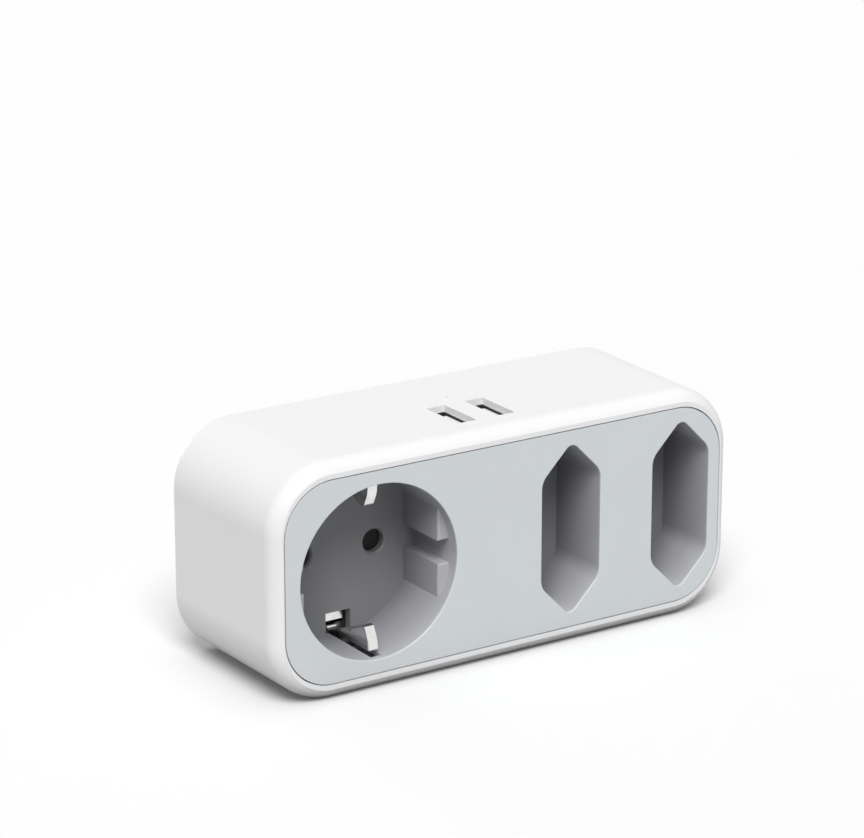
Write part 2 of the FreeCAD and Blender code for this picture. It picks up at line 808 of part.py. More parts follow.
def blade(name, place):
    """Flat blade with a tapered tip and a round hole, held in the carrier and the strip."""
    body = new_body(name)
    profile = side_sketch(body, f"{name}_profile", f"{place} - blade_thick / 2")
    start = depth(f"{BAR_FRONT} - blade_inner")
    end = f"({REAR} + boss_thick + blade_long)"
    low, high = around(BLADE_Z, "blade_wide")
    outline(profile, (
        (start, low), (f"{end} - blade_taper", low), (end, f"{low} + blade_taper"),
        (end, f"{high} - blade_taper"), (f"{end} - blade_taper", high), (start, high)))
    pad(body, profile, "blade_thick", back=False)
    hole = side_sketch(body, f"{name}_hole", f"{place} + blade_thick / 2")
    circle(hole, f"{end} - blade_hole_back", BLADE_Z, "blade_hole")
    pocket(body, hole, "blade_thick + cut_past")
    tip = size("body_deep") / 2 + size("boss_thick") + size("blade_long")
    bevel_edges(body, f"{name}_tip", "blade_bevel",
                lambda edge: lies_at(edge, "y", tip) and runs_along(edge, V(0, 0, 1)))
    return label(body, name)


def ground_pin():
    """Round earth pin with a domed end. Its shoulder seats on the boss, on a thinner root."""
    start = f"{BAR_FRONT} - earth_pin_inner"
    root = rod("earth_pin_root", "0", depth(start), EARTH_PIN_Z, "earth_pin_root_rad",
               f"body_deep + boss_thick - ({start})", along="Y")
    shank = rod("earth_pin_shank", "0", f"{REAR} + boss_thick", EARTH_PIN_Z, "earth_pin_rad",
                "earth_pin_long - earth_pin_rad", along="Y")
    dome = doc.addObject("Part::Sphere", "earth_pin_dome")
    bind(dome, "Radius", "earth_pin_rad")
    bind(dome, "Placement.Base.y", f"{REAR} + boss_thick + earth_pin_long - earth_pin_rad")
    bind(dome, "Placement.Base.z", EARTH_PIN_Z)
    return label(fuse("ground_pin", [root, shank, dome]), "ground_pin")


# Current-carrying strips and the contacts on them


def bar(name, x, z):
    """Flat strip in the layer in front of the carrier."""
    return block(name, x, (depth(BAR_FRONT), depth(CARRIER_FRONT)), z)


def blade_slot(name, place):
    return block(name, around(place, "blade_thick + 2 * slot_clear"),
                 (depth(f"{BAR_FRONT} - cut_past"), depth(f"{COVER_FRONT} + cut_past")),
                 around(BLADE_Z, "blade_wide + 2 * slot_clear"))


def live_bus_bar():
    """From the right contact of the round well to a blade and the upper flat-well contacts."""
    top = around(f"{MID} + pin_pitch / 2", "bar_wide")
    inner = "schuko_place + pin_pitch / 2"
    strip = bar("live_strip", (f"{inner} - bar_wide / 2", "euro_right + bar_wide / 2"), top)
    round_tab = bar("live_round_tab", around(inner, "bar_wide"), (f"{MID} - bar_wide / 2", top[1]))
    blade_tab = bar("live_blade_tab", around("-blade_pitch / 2", "bar_wide"),
                    (f"{BLADE_Z} - blade_wide / 2 - live_tab_past", top[1]))
    whole = fuse("live_bar_solid", [strip, round_tab, blade_tab])
    return label(cut("live_bus_bar", whole, [blade_slot("live_bar_slot", "-blade_pitch / 2")]),
                 "live_bus_bar")


def neutral_bus_bar():
    """From the left contact of the round well to the other blade and the lower contacts."""
    low, high = around(f"{MID} - neutral_drop", "neutral_tall")
    outer = "schuko_place - pin_pitch / 2"
    strips = [
        bar("neutral_strip", (f"{outer} - bar_wide / 2", "euro_right + bar_wide / 2"), (low, high)),
        bar("neutral_round_tab", around(outer, "bar_wide"), (low, f"{MID} + bar_wide / 2")),
        bar("neutral_blade_tab", around("blade_pitch / 2", "bar_wide"),
            (low, f"{BLADE_Z} + blade_wide / 2 + neutral_tab_past")),
    ]
    for side, middle in (("left", "euro_left"), ("right", "euro_right")):
        strips.append(bar(f"neutral_tab_{side}", around(middle, "bar_wide"),
                          (low, f"{MID} - pin_pitch / 2 + bar_wide / 2")))
    whole = fuse("neutral_bar_solid", strips)
    return label(cut("neutral_bus_bar", whole, [blade_slot("neutral_bar_slot", "blade_pitch / 2")]),
                 "neutral_bus_bar")


def earth_bar():
    """Upright strip behind the round well, with an arm that folds back to the earth pin.

    A sloped tab stands in each clip's notch, with a window beside it for the clip's root.
    """
    sheet_layer = (depth(STRIP_FRONT), depth(f"{STRIP_FRONT} + strip_thick"))
    arm_height = around(EARTH_PIN_Z, "arm_tall")
    fold = "(-earth_pin_rad - strip_thick)"
    upright = block("earth_upright", around("schuko_place", "strip_wide"), sheet_layer,
                    around(MID, "2 * (clip_root_rise + clip_thick)"))
    arm = block("earth_arm", ("schuko_place", f"{fold} + strip_thick"), sheet_layer, arm_height)
    leg = block("earth_leg", (fold, f"{fold} + strip_thick"),
                (depth(STRIP_FRONT), depth(CARRIER_FRONT)), arm_height)
    foot = bar("earth_foot", (fold, "foot_reach"), around(EARTH_PIN_Z, "arm_tall + foot_extra"))
    room = rod("earth_bar_room", "schuko_place", depth(f"{STRIP_FRONT} - cut_past"), MID, "strip_hole",
               "strip_thick + 2 * cut_past", along="Y")
    hole = rod("earth_bar_hole", "0", depth(f"{BAR_FRONT} - earth_pin_inner - cut_past"), EARTH_PIN_Z,
               "earth_pin_root_rad + slot_clear", "body_deep", along="Y")
    solids = [upright, arm, leg, foot]
    cuts = [room, hole]
    proud = depth(f"{STRIP_FRONT} - tab_proud")
    sunk = depth(f"{STRIP_FRONT} + overlap")
    window_layer = (depth(f"{STRIP_FRONT} - cut_past"),
                    depth(f"{STRIP_FRONT} + strip_thick + cut_past"))
    for name, sign in (("top", "+"), ("bottom", "-")):
        near = f"{MID} {sign} tab_low_rise"
        far = f"{MID} {sign} tab_high_rise"
        tab = new_body(f"earth_tab_{name}")
        profile = side_sketch(tab, f"earth_tab_profile_{name}", "schuko_place - tab_wide / 2")
        outline(profile, ((sunk, near), (f"{proud} + tab_slope", near), (proud, far), (sunk, far)))
        pad(tab, profile, "tab_wide", back=False)
        solids.append(tab)
        ends = (far, f"{far} {sign} tab_window_tall")
        cuts.append(block(f"earth_window_{name}", around("schuko_place", "tab_window_wide"),
                          window_layer, ends if sign == "+" else ends[::-1]))
    whole = fuse("earth_bar_solid", solids)
    return label(cut("earth_bar", whole, cuts), "earth_bar")


def contact(name, x, z):
    """Folded contact with two sprung leaves that pinch a round pin."""
    body = new_body(name)
    profile = top_sketch(body, f"{name}_profile", f"{z} - contact_tall / 2")
    back = depth(BAR_FRONT)
    mouth = f"({back} - contact_long)"
    pinch = f"({mouth} + pinch_back)"
    outer = (("contact_base", back), ("contact_pinch", pinch), ("contact_flare", mouth))
    inner = (("contact_flare - contact_thick", mouth), ("contact_pinch - contact_thick", pinch),
             ("contact_base - contact_thick", f"{back} - contact_thick"))
    half = outer + inner
    right = [(f"{x} + {reach}", y) for reach, y in half]
    left = [(f"{x} - ({reach})", y) for reach, y in reversed(half)]
    outline(profile, right + left)
    pad(body, profile, "contact_tall", back=False)
    return label(body, name)


def contacts():
    contact("schuko_contact_left", "schuko_place - pin_pitch / 2", MID)
    contact("schuko_contact_right", "schuko_place + pin_pitch / 2", MID)
    number = 1
    for middle in ("euro_left", "euro_right"):
        for rise in "+-":
            contact(f"euro_contact_{number}", middle, f"{MID} {rise} pin_pitch / 2")
            number += 1


def contact_carrier():
    """Insulating plate that backs the strips and lies against the rear cover."""
    plate = block("carrier_plate", around("0", "carrier_wide"),
                  (depth(CARRIER_FRONT), depth(COVER_FRONT)), around(MID, "carrier_tall"))
    cuts = [blade_slot("carrier_slot_left", "-blade_pitch / 2"),
            blade_slot("carrier_slot_right", "blade_pitch / 2"),
            rod("carrier_pin_hole", "0", depth(f"{CARRIER_FRONT} - cut_past"), EARTH_PIN_Z,
                "earth_pin_root_rad + slot_clear", "carrier_thick + 2 * cut_past", along="Y")]
    return label(cut("contact_carrier", plate, cuts), "contact_carrier")


# Bent strips and wires


def bent_path(points, radii):
    """Wire through points, with an arc at each corner."""
    edges = []
    start = points[0]
    for before, corner, after, radius in zip(points, points[1:], points[2:], radii):
        arrive = (before - corner).normalize()
        leave = (after - corner).normalize()
        half = arrive.getAngle(leave) / 2
        first = corner + arrive * (radius / math.tan(half))
        last = corner + leave * (radius / math.tan(half))
        outward = (arrive + leave).normalize() * -1
        middle = corner - outward * (radius / math.sin(half) - radius)
        edges.append(Part.LineSegment(start, first).toShape())
        edges.append(Part.Arc(first, middle, last).toShape())
        start = last
    edges.append(Part.LineSegment(start, points[-1]).toShape())
    return Part.Wire(edges)


def swept(name, path, section):
    """Solid of a closed section swept along a wire, kept under a label."""
    item = doc.addObject("Part::Feature", name)
    item.Shape = path.makePipeShell([section], True, False)
    item.Placement = FreeCAD.Placement()
    return label(item, name)


def earth_clip(name, sign):
    """Sprung strip: a foot on the earth strip, a ramp up to the apex, and a front leg."""
    front = -size("body_deep") / 2
    mid = size("body_tall") / 2
    thick = size("clip_thick")
    root = sum(size(name) for name in STRIP_STACK) - size("clip_seat") - thick / 2
    profile = (
        (root, size("clip_root_rise") - size("clip_foot")),
        (root, size("clip_root_rise")),
        (size("clip_apex_depth"), size("clip_apex_rise")),
        (size("clip_leg_depth"), size("clip_leg_rise")),
        (size("clip_tip_depth"), size("clip_tip_rise")),
    )
    place = size("schuko_place")
    points = [V(place, front + back, mid + sign * rise) for back, rise in profile]
    half_wide = V(size("clip_wide") / 2, 0, 0)
    half_thick = V(0, thick / 2, 0)
    corners = [points[0] - half_wide - half_thick, points[0] + half_wide - half_thick,
               points[0] + half_wide + half_thick, points[0] - half_wide + half_thick]
    section = Part.makePolygon(corners + corners[:1])
    radii = (size("clip_bend"), size("clip_bend"), size("clip_leg_bend"))
    return swept(name, bent_path(points, radii), section)


def lead(name, x, z, out):
    """Insulated wire from the face of a bus strip forward and up to the board."""
    bars = size("body_deep") / 2 - size("cover_thick") - size("carrier_thick") - size("bar_thick")
    under = size("body_tall") - size("window_lip") - size("usb_under") - size("usb_tall") \
        - size("board_thick")
    points = [V(x, bars, z), V(x, bars - out, z), V(x, bars - out, under)]
    section = Part.Wire([Part.Circle(points[0], V(0, 1, 0), size("lead_rad")).toShape()])
    return swept(name, bent_path(points, [size("lead_bend")]), section)


def leads():
    rise = size("body_tall") / 2 + size("pin_pitch") / 2
    lead("live_lead", size("live_lead_place"), rise, size("live_lead_out"))
    blade_height = size("body_tall") / 2 + size("blade_rise") + size("blade_wide") / 2
    beside_blade = size("blade_pitch") / 2 - size("blade_thick") / 2 - size("lead_rad") \
        - size("neutral_lead_gap")
    lead("neutral_lead", beside_blade, blade_height - size("lead_rad"), size("neutral_lead_out"))


# Shutters


def schuko_shutter():
    """Disc that covers both pin holes and turns until its own holes meet them."""
    disc = rod("disc", "schuko_place", depth(DISC_FRONT), MID, "disc_rad", "disc_thick", along="Y")
    bore = rod("disc_bore", "schuko_place", depth(f"{DISC_FRONT} - cut_past"), MID,
               "pivot_rad + pivot_clear", "disc_thick + 2 * cut_past", along="Y")
    cuts = [bore]
    for number, sign in enumerate("+-", start=1):
        cuts.append(rod(f"disc_hole_{number}", f"schuko_place {sign} pin_pitch / 2 * cos(disc_turn)",
                        depth(f"{DISC_FRONT} - cut_past"), f"{MID} {sign} pin_pitch / 2 * sin(disc_turn)",
                        "schuko_hole", "disc_thick + 2 * cut_past", along="Y"))
    label(cut("schuko_shutter", disc, cuts), "schuko_shutter")

    head = rod("pivot_head", "schuko_place", depth(PIVOT_END), MID, "pivot_head_rad",
               "pivot_head_tall", along="Y")
    shank = rod("pivot_shank", "schuko_place", depth(f"{PIVOT_END} - pivot_screw_long"), MID,
                "pivot_screw_rad", "pivot_screw_long + shank_lap", along="Y")
    label(fuse("shutter_pivot_screw", [head, shank]), "shutter_pivot_screw")

    start = f"{DISC_BACK} + disc_spring_gap"
    outer = rod("disc_spring_outer", "schuko_place", depth(start), MID, "disc_spring_rad",
                "disc_spring_wire", along="Y")
    inner = rod("disc_spring_inner", "schuko_place", depth(f"{start} - cut_past"), MID,
                "disc_spring_rad - disc_spring_wire", "disc_spring_wire + 2 * cut_past", along="Y")
    label(cut("schuko_shutter_spring", outer, [inner]), "schuko_shutter_spring")


def euro_shutters():
    """Two sliding plates. Each moves towards the stop between the flat wells."""
    layer = (depth(f"{EURO_BACK} + slider_gap"), depth(f"{EURO_BACK} + slider_gap + slider_thick"))
    spring_depth = f"{EURO_BACK} + slider_gap + slider_thick / 2"
    outer_reach = "(slider_travel + euro_hole + slider_edge)"
    stop_left, stop_right = around(GUIDE_MIDDLE, "spring_stop_wide")
    for side, middle, sign in (("left", "euro_left", "+"), ("right", "euro_right", "-")):
        inner = f"{middle} {sign} slider_inner"
        outer = f"{middle} {'-' if sign == '+' else '+'} {outer_reach}"
        across = (outer, inner) if sign == "+" else (inner, outer)
        plate = block(f"slider_{side}", across, layer, around(MID, SLIDER_TALL))
        hole_place = f"{middle} {'-' if sign == '+' else '+'} slider_travel"
        cuts = []
        for number, rise in enumerate("+-", start=1):
            cuts.append(rod(f"slider_{side}_hole_{number}", hole_place, depth(EURO_BACK),
                            f"{MID} {rise} pin_pitch / 2", "euro_hole", "slider_thick + cut_past", along="Y"))
        label(cut(f"euro_shutter_{side}", plate, cuts), f"euro_shutter_{side}")
        start = f"{inner} + slider_spring_gap" if sign == "+" else stop_right
        end = stop_left if sign == "+" else f"{inner} - slider_spring_gap"
        label(rod(f"euro_spring_{side}", start, depth(spring_depth), MID, "slider_spring_rad",
                  f"({end}) - ({start})", along="X"), f"euro_spring_{side}")


def shutter_guide():
    """Channel that holds both sliding plates behind the flat wells, and its two screws."""
    left = "euro_left - guide_margin"
    right = "euro_right + guide_margin"
    rail = f"{SLIDER_TALL} / 2 + guide_side_gap"
    half_tall = f"({rail} + guide_rail)"
    back = f"{GUIDE_FRONT} + guide_thick"
    solids = [block("guide_plate", (left, right), (depth(GUIDE_FRONT), depth(back)),
                    around(MID, f"2 * {half_tall}"))]
    for name, low, high in (("upper", f"{MID} + {rail}", f"{MID} + {half_tall}"),
                            ("lower", f"{MID} - {half_tall}", f"{MID} - ({rail})")):
        solids.append(block(f"guide_rail_{name}", (left, right), (depth(EURO_BACK), depth(back)),
                            (low, high)))
    solids.append(block("guide_stop", around(GUIDE_MIDDLE, "spring_stop_wide"),
                        (depth(f"{EURO_BACK} + slider_gap"), depth(back)),
                        around(MID, "spring_stop_tall")))
    cuts = []
    for middle in ("euro_left", "euro_right"):
        for rise in "+-":
            cuts.append(rod(f"guide_hole_{len(cuts) + 1}", middle, depth(EURO_BACK),
                            f"{MID} {rise} pin_pitch / 2", "guide_hole",
                            f"{back} - {EURO_BACK} + cut_past", along="Y"))
    screws = []
    for number, rise in enumerate("+-", start=1):
        z = f"{MID} {rise} guide_post_rise"
        cuts.append(rod(f"guide_screw_hole_{number}", GUIDE_MIDDLE, depth(f"{GUIDE_FRONT} - cut_past"), z,
                        "guide_screw_rad + screw_clear", "guide_thick + 2 * cut_past", along="Y"))
        shank = rod(f"guide_shank_{number}", GUIDE_MIDDLE, depth(f"{back} - guide_screw_long"), z,
                    "guide_screw_rad", "guide_screw_long + shank_lap", along="Y")
        head = rod(f"guide_head_{number}", GUIDE_MIDDLE, depth(back), z, "guide_head_rad",
                   "guide_head_tall", along="Y")
        screws.append(fuse(f"guide_screw_{number}", [shank, head]))
    label(cut("shutter_guide", fuse("guide_solid", solids), cuts), "shutter_guide")
    label(group("guide_screws", screws), "guide_screws")


# Charger


def charger_board():
    """Board between the round well and the left flat well, hung from the top wall."""
    plate = block("board_plate", ("board_left", "board_right"),
                  (depth("board_front"), depth("board_back")), (BOARD_UNDER, BOARD_TOP))
    cuts = []
    screws = []
    for number, (x, far) in enumerate(BOARD_POSTS, start=1):
        cuts.append(rod(f"board_hole_{number}", x, depth(far), f"{BOARD_UNDER} - cut_past",
                        "board_screw_rad + screw_clear", "board_thick + 2 * cut_past"))
        shank = rod(f"board_shank_{number}", x, depth(far), f"{BOARD_UNDER} - shank_lap",
                    "board_screw_rad", "board_screw_long + shank_lap")
        head = rod(f"board_head_{number}", x, depth(far), f"{BOARD_UNDER} - board_head_tall",
                   "board_head_rad", "board_head_tall")
        screws.append(fuse(f"board_screw_{number}", [shank, head]))
    label(cut("charger_board", plate, cuts), "charger_board")
    label(group("board_screws", screws), "board_screws")


def usb_port(side, place):
    """Metal sleeve, tongue on its base, and the four gold strips on the tongue."""
    y = depth(USB_MIDDLE)
    inner_x = "usb_thin + 2 * usb_inner_extra"
    inner_y = "usb_long + 2 * usb_inner_extra"
    top = f"({BOARD_TOP} + usb_tall)"
    sleeve = block(f"usb_sleeve_{side}", around(place, f"{inner_x} + 2 * usb_sheet"),
                   around(y, f"{inner_y} + 2 * usb_sheet"), (BOARD_TOP, top))
    room = block(f"usb_room_{side}", around(place, inner_x), around(y, inner_y),
                 (f"{BOARD_TOP} - cut_past", f"{top} + cut_past"))
    label(cut(f"usb_shell_{side}", sleeve, [room]), f"usb_shell_{side}")

    base_top = f"({BOARD_TOP} + usb_base_tall)"
    base = block(f"usb_base_{side}", around(place, f"{inner_x} - 2 * usb_fit"),
                 around(y, f"{inner_y} - 2 * usb_fit"), (BOARD_TOP, base_top))
    right = f"({place} + usb_thin / 2 - tongue_side)"
    left = f"({right} - tongue_thick)"
    tongue = new_body(f"usb_blade_{side}")
    profile = side_sketch(tongue, f"usb_blade_profile_{side}", left)
    near, far = around(y, "tongue_long")
    tip = f"({top} - tongue_below)"
    outline(profile, ((near, f"{base_top} - overlap"), (far, f"{base_top} - overlap"),
                      (far, f"{tip} - tongue_bevel"), (f"{far} - tongue_bevel", tip),
                      (f"{near} + tongue_bevel", tip), (near, f"{tip} - tongue_bevel")))
    pad(tongue, profile, "tongue_thick", back=False)
    label(fuse(f"usb_tongue_{side}", [base, tongue]), f"usb_tongue_{side}")

    strips = []
    for number in range(USB_STRIPS):
        middle = f"{y} + strip_pitch * {number - (USB_STRIPS - 1) / 2}"
        strips.append(block(f"usb_strip_{side}_{number + 1}", (f"{left} - gold_thick", left),
                            around(middle, "gold_wide"), (base_top, f"{top} - gold_below")))
    label(group(f"usb_contacts_{side}", strips), f"usb_contacts_{side}")


def transformer():
    """Ferrite core with two windows, and the winding round its middle leg."""
    across = around("core_place", "core_wide")
    along = (depth("core_front"), depth("core_front + core_deep"))
    bottom = f"({BOARD_UNDER} - core_tall)"
    core = block("core_block", across, along, (bottom, BOARD_UNDER))
    inside = (f"{bottom} + core_yoke", f"{BOARD_UNDER} - core_yoke")
    through = (depth("core_front - cut_past"), depth("core_front + core_deep + cut_past"))
    leg = around("core_place", "core_leg")
    windows = [
        block("core_window_left", (f"{across[0]} + core_outer_leg", leg[0]), through, inside),
        block("core_window_right", (leg[1], f"{across[1]} - core_outer_leg"), through, inside),
    ]
    label(cut("transformer_core", core, windows), "transformer_core")
    gap = "winding_gap"
    wound = block("winding_block",
                  (f"{across[0]} + core_outer_leg + {gap}", f"{across[1]} - core_outer_leg - {gap}"),
                  (depth("core_front - winding_proud"), depth("core_front + core_deep + winding_proud")),
                  (f"{inside[0]} + {gap}", f"{inside[1]} - {gap}"))
    hollow = block("winding_hollow", around("core_place", f"core_leg + 2 * {gap}"),
                   (depth(f"core_front - {gap}"), depth(f"core_front + core_deep + {gap}")),
                   (f"{bottom} - cut_past", f"{BOARD_UNDER} + cut_past"))
    label(cut("transformer_winding", wound, [hollow]), "transformer_winding")


def board_parts():
    """Capacitors under the board; rectifier, chip, fuse resistor and lamp on top of it."""
    cans = []
    for number, place in enumerate(("input_capacitor_one", "input_capacitor_two"), start=1):
        cans.append(rod(f"input_capacitor_{number}", place, depth("capacitor_depth"),
                        f"{BOARD_UNDER} - input_capacitor_tall", "input_capacitor_rad",
                        "input_capacitor_tall"))
    label(group("input_capacitors", cans), "input_capacitors")
    label(rod("output_capacitor", "output_capacitor_place", depth("capacitor_depth"),
              f"{BOARD_UNDER} - output_capacitor_tall", "output_capacitor_rad",
              "output_capacitor_tall"), "output_capacitor")
    for name, part in (("bridge_rectifier", "rectifier"), ("controller_chip", "chip")):
        label(block(name, around(f"{part}_place", f"{part}_wide"),
                    (depth(f"{part}_front"), depth(f"{part}_front + {part}_long")),
                    (BOARD_TOP, f"{BOARD_TOP} + {part}_tall")), name)
    fuse_height = f"{BOARD_TOP} + fuse_rad + fuse_lift"
    label(rod("fuse_resistor", "fuse_place", depth("fuse_front"), fuse_height, "fuse_rad",
              "fuse_long", along="Y"), "fuse_resistor")
    label(block("power_lamp", around("lamp_place", "lamp_side"),
                around(depth("lamp_depth"), "lamp_side"), (BOARD_TOP, f"{BOARD_TOP} + lamp_tall")),
          "power_lamp")
    start = f"{BOARD_TOP} + lamp_tall + pipe_gap"
    column = rod("pipe_column", "lamp_place", depth("lamp_depth"), start, "pipe_rad",
                 f"{SHELL_TOP} - pipe_gap - ({start})")
    tip = rod("pipe_tip", "lamp_place", depth("lamp_depth"), start, "pipe_tip_rad",
              f"body_tall - pipe_tip_below - ({start})")
    label(fuse("light_pipe", [column, tip]), "light_pipe")


def build():
    main_shell()
    front_panel()
    rear_cover()
    housing_screws()
    blade("live_blade", "-blade_pitch / 2")
    blade("neutral_blade", "blade_pitch / 2")
    ground_pin()
    live_bus_bar()
    neutral_bus_bar()
    earth_bar()
    earth_clip("earth_clip_top", 1)
    earth_clip("earth_clip_bottom", -1)
    contacts()
    contact_carrier()
    schuko_shutter()
    euro_shutters()
    shutter_guide()
    charger_board()
    usb_port("left", "usb_left")
    usb_port("right", "usb_right")
    transformer()
    board_parts()
    leads()


def check():
    """Stops on a failed object or a shape that is empty or not valid."""
    for item in doc.Objects:
        if {"Invalid", "Error"} & set(item.State):
            raise RuntimeError(f"{item.Name} failed: {item.State}")
    for item in pieces:
        if item.Shape.isNull() or not item.Shape.isValid() or item.Shape.Volume <= 0:
            raise RuntimeError(f"{item.Label} has no valid shape")


def write():
    os.makedirs("parts", exist_ok=True)
    for item in pieces:
        item.Shape.exportStep(f"parts/{item.Label}.step")
        print(f"{item.Label}: {len(item.Shape.Solids)} solid, {item.Shape.Volume:.1f} mm3")


build()
doc.recompute()
check()
write()
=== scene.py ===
"""Looks of the travel adapter: finishes, small modelled details, floor, light and camera.

Metres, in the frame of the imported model: +X right seen from the front, +Y from the front
panel to the plug, +Z up. The adapter stands on z = 0.
"""

import json
import math

import bmesh
import bpy
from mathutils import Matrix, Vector


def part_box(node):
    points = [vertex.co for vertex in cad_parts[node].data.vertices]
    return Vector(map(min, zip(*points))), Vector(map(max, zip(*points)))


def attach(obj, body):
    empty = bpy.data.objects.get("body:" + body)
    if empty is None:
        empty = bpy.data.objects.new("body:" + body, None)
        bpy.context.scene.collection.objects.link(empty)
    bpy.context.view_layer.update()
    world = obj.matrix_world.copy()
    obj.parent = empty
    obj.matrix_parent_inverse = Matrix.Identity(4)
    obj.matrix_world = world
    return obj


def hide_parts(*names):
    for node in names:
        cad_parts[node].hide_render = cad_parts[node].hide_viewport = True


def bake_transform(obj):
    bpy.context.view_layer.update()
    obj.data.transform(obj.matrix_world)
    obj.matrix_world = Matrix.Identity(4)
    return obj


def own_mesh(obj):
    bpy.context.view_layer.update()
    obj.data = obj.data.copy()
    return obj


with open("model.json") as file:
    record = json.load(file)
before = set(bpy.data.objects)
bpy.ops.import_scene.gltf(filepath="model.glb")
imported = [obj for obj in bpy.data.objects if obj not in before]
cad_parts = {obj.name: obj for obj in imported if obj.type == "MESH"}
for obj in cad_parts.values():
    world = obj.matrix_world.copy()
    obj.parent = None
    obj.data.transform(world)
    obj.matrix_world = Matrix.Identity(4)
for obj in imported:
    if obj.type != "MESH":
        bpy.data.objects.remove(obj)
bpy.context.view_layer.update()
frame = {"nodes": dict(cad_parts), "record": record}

MM = 0.001

# View of the photograph: metres, degrees, and millimetres for the lens and sensor
CAMERA_PLACE = Vector((-0.41313, -0.62000, 0.28965))
CAMERA_YAW = 33.231
CAMERA_PITCH = 17.825
CAMERA_LENS = 146.25
CAMERA_SENSOR = 36.0

# Light: a wide sun above the front, a weak one behind, one ambient level, a white surround
KEY_DIRECTION = Vector((-0.25, -0.42, 0.62))
KEY_LEVEL = 0.79
KEY_SPREAD = 30.0
BACK_DIRECTION = Vector((0.0, 1.0, 0.03))
BACK_LEVEL = 0.25
BACK_SPREAD = 12.0
AMBIENT = 0.34

# Floor, in metres: what it shows, and the light that it returns to the object
FLOOR_COLOR = (0.965, 0.965, 0.965)
FLOOR_BOUNCE = (0.50, 0.50, 0.50)
FLOOR_GLOW = 0.05
FLOOR_REACH = 4.0
FLOOR_DROP = 0.05 * MM

# Painted shade: how both darken near the object, and from how far
PAINTED_SHADOW_REACH = 22.0 * MM
PAINTED_SHADOW_POWER = 0.18
BOUNCE_PAINTED_SHADE_REACH = 9.0 * MM
BOUNCE_PAINTED_SHADE_POWER = 2.0


def view_camera():
    camera = bpy.data.cameras.new("view_camera")
    camera.lens = CAMERA_LENS
    camera.sensor_width = CAMERA_SENSOR
    camera.sensor_fit = "HORIZONTAL"
    camera.clip_start = 0.01
    holder = bpy.data.objects.new("view_camera", camera)
    bpy.context.scene.collection.objects.link(holder)
    holder.location = CAMERA_PLACE
    holder.rotation_euler = (math.radians(90 - CAMERA_PITCH), 0.0, math.radians(-CAMERA_YAW))
    bpy.context.scene.camera = holder


def seen_directly(nodes, links):
    """1 for rays from the camera, a reflection or a refraction, and 0 for diffuse light."""
    path = nodes.new("ShaderNodeLightPath")
    first = nodes.new("ShaderNodeMath")
    first.operation = "MAXIMUM"
    links.new(path.outputs["Is Camera Ray"], first.inputs[0])
    links.new(path.outputs["Is Glossy Ray"], first.inputs[1])
    second = nodes.new("ShaderNodeMath")
    second.operation = "MAXIMUM"
    links.new(first.outputs[0], second.inputs[0])
    links.new(path.outputs["Is Transmission Ray"], second.inputs[1])
    return second.outputs[0]


def surround():
    world = bpy.data.worlds.new("surround")
    world.use_nodes = True
    bpy.context.scene.world = world
    nodes = world.node_tree.nodes
    links = world.node_tree.links
    level = nodes.new("ShaderNodeMapRange")
    level.inputs["To Min"].default_value = AMBIENT
    level.inputs["To Max"].default_value = 1.0
    links.new(seen_directly(nodes, links), level.inputs["Value"])
    links.new(level.outputs["Result"], nodes["Background"].inputs["Strength"])
    nodes["Background"].inputs["Color"].default_value = (1.0, 1.0, 1.0, 1.0)


def sun_light(name, direction, level, spread):
    sun = bpy.data.lights.new(name, "SUN")
    sun.energy = level * math.pi
    sun.angle = math.radians(spread)
    holder = bpy.data.objects.new(name, sun)
    bpy.context.scene.collection.objects.link(holder)
    holder.rotation_euler = direction.to_track_quat("Z", "Y").to_euler()


def painted_shade_close_by(nodes, links, color, reach, power):
    """A colour with painted shade: it gets darker where other surfaces are within reach."""
    near = nodes.new("ShaderNodeAmbientOcclusion")
    near.inputs["Distance"].default_value = reach
    share = nodes.new("ShaderNodeMath")
    share.operation = "POWER"
    share.inputs[1].default_value = power
    links.new(near.outputs["AO"], share.inputs[0])
    shaded = nodes.new("ShaderNodeVectorMath")
    shaded.operation = "SCALE"
    shaded.inputs[0].default_value = color
    links.new(share.outputs[0], shaded.inputs["Scale"])
    return shaded.outputs["Vector"]


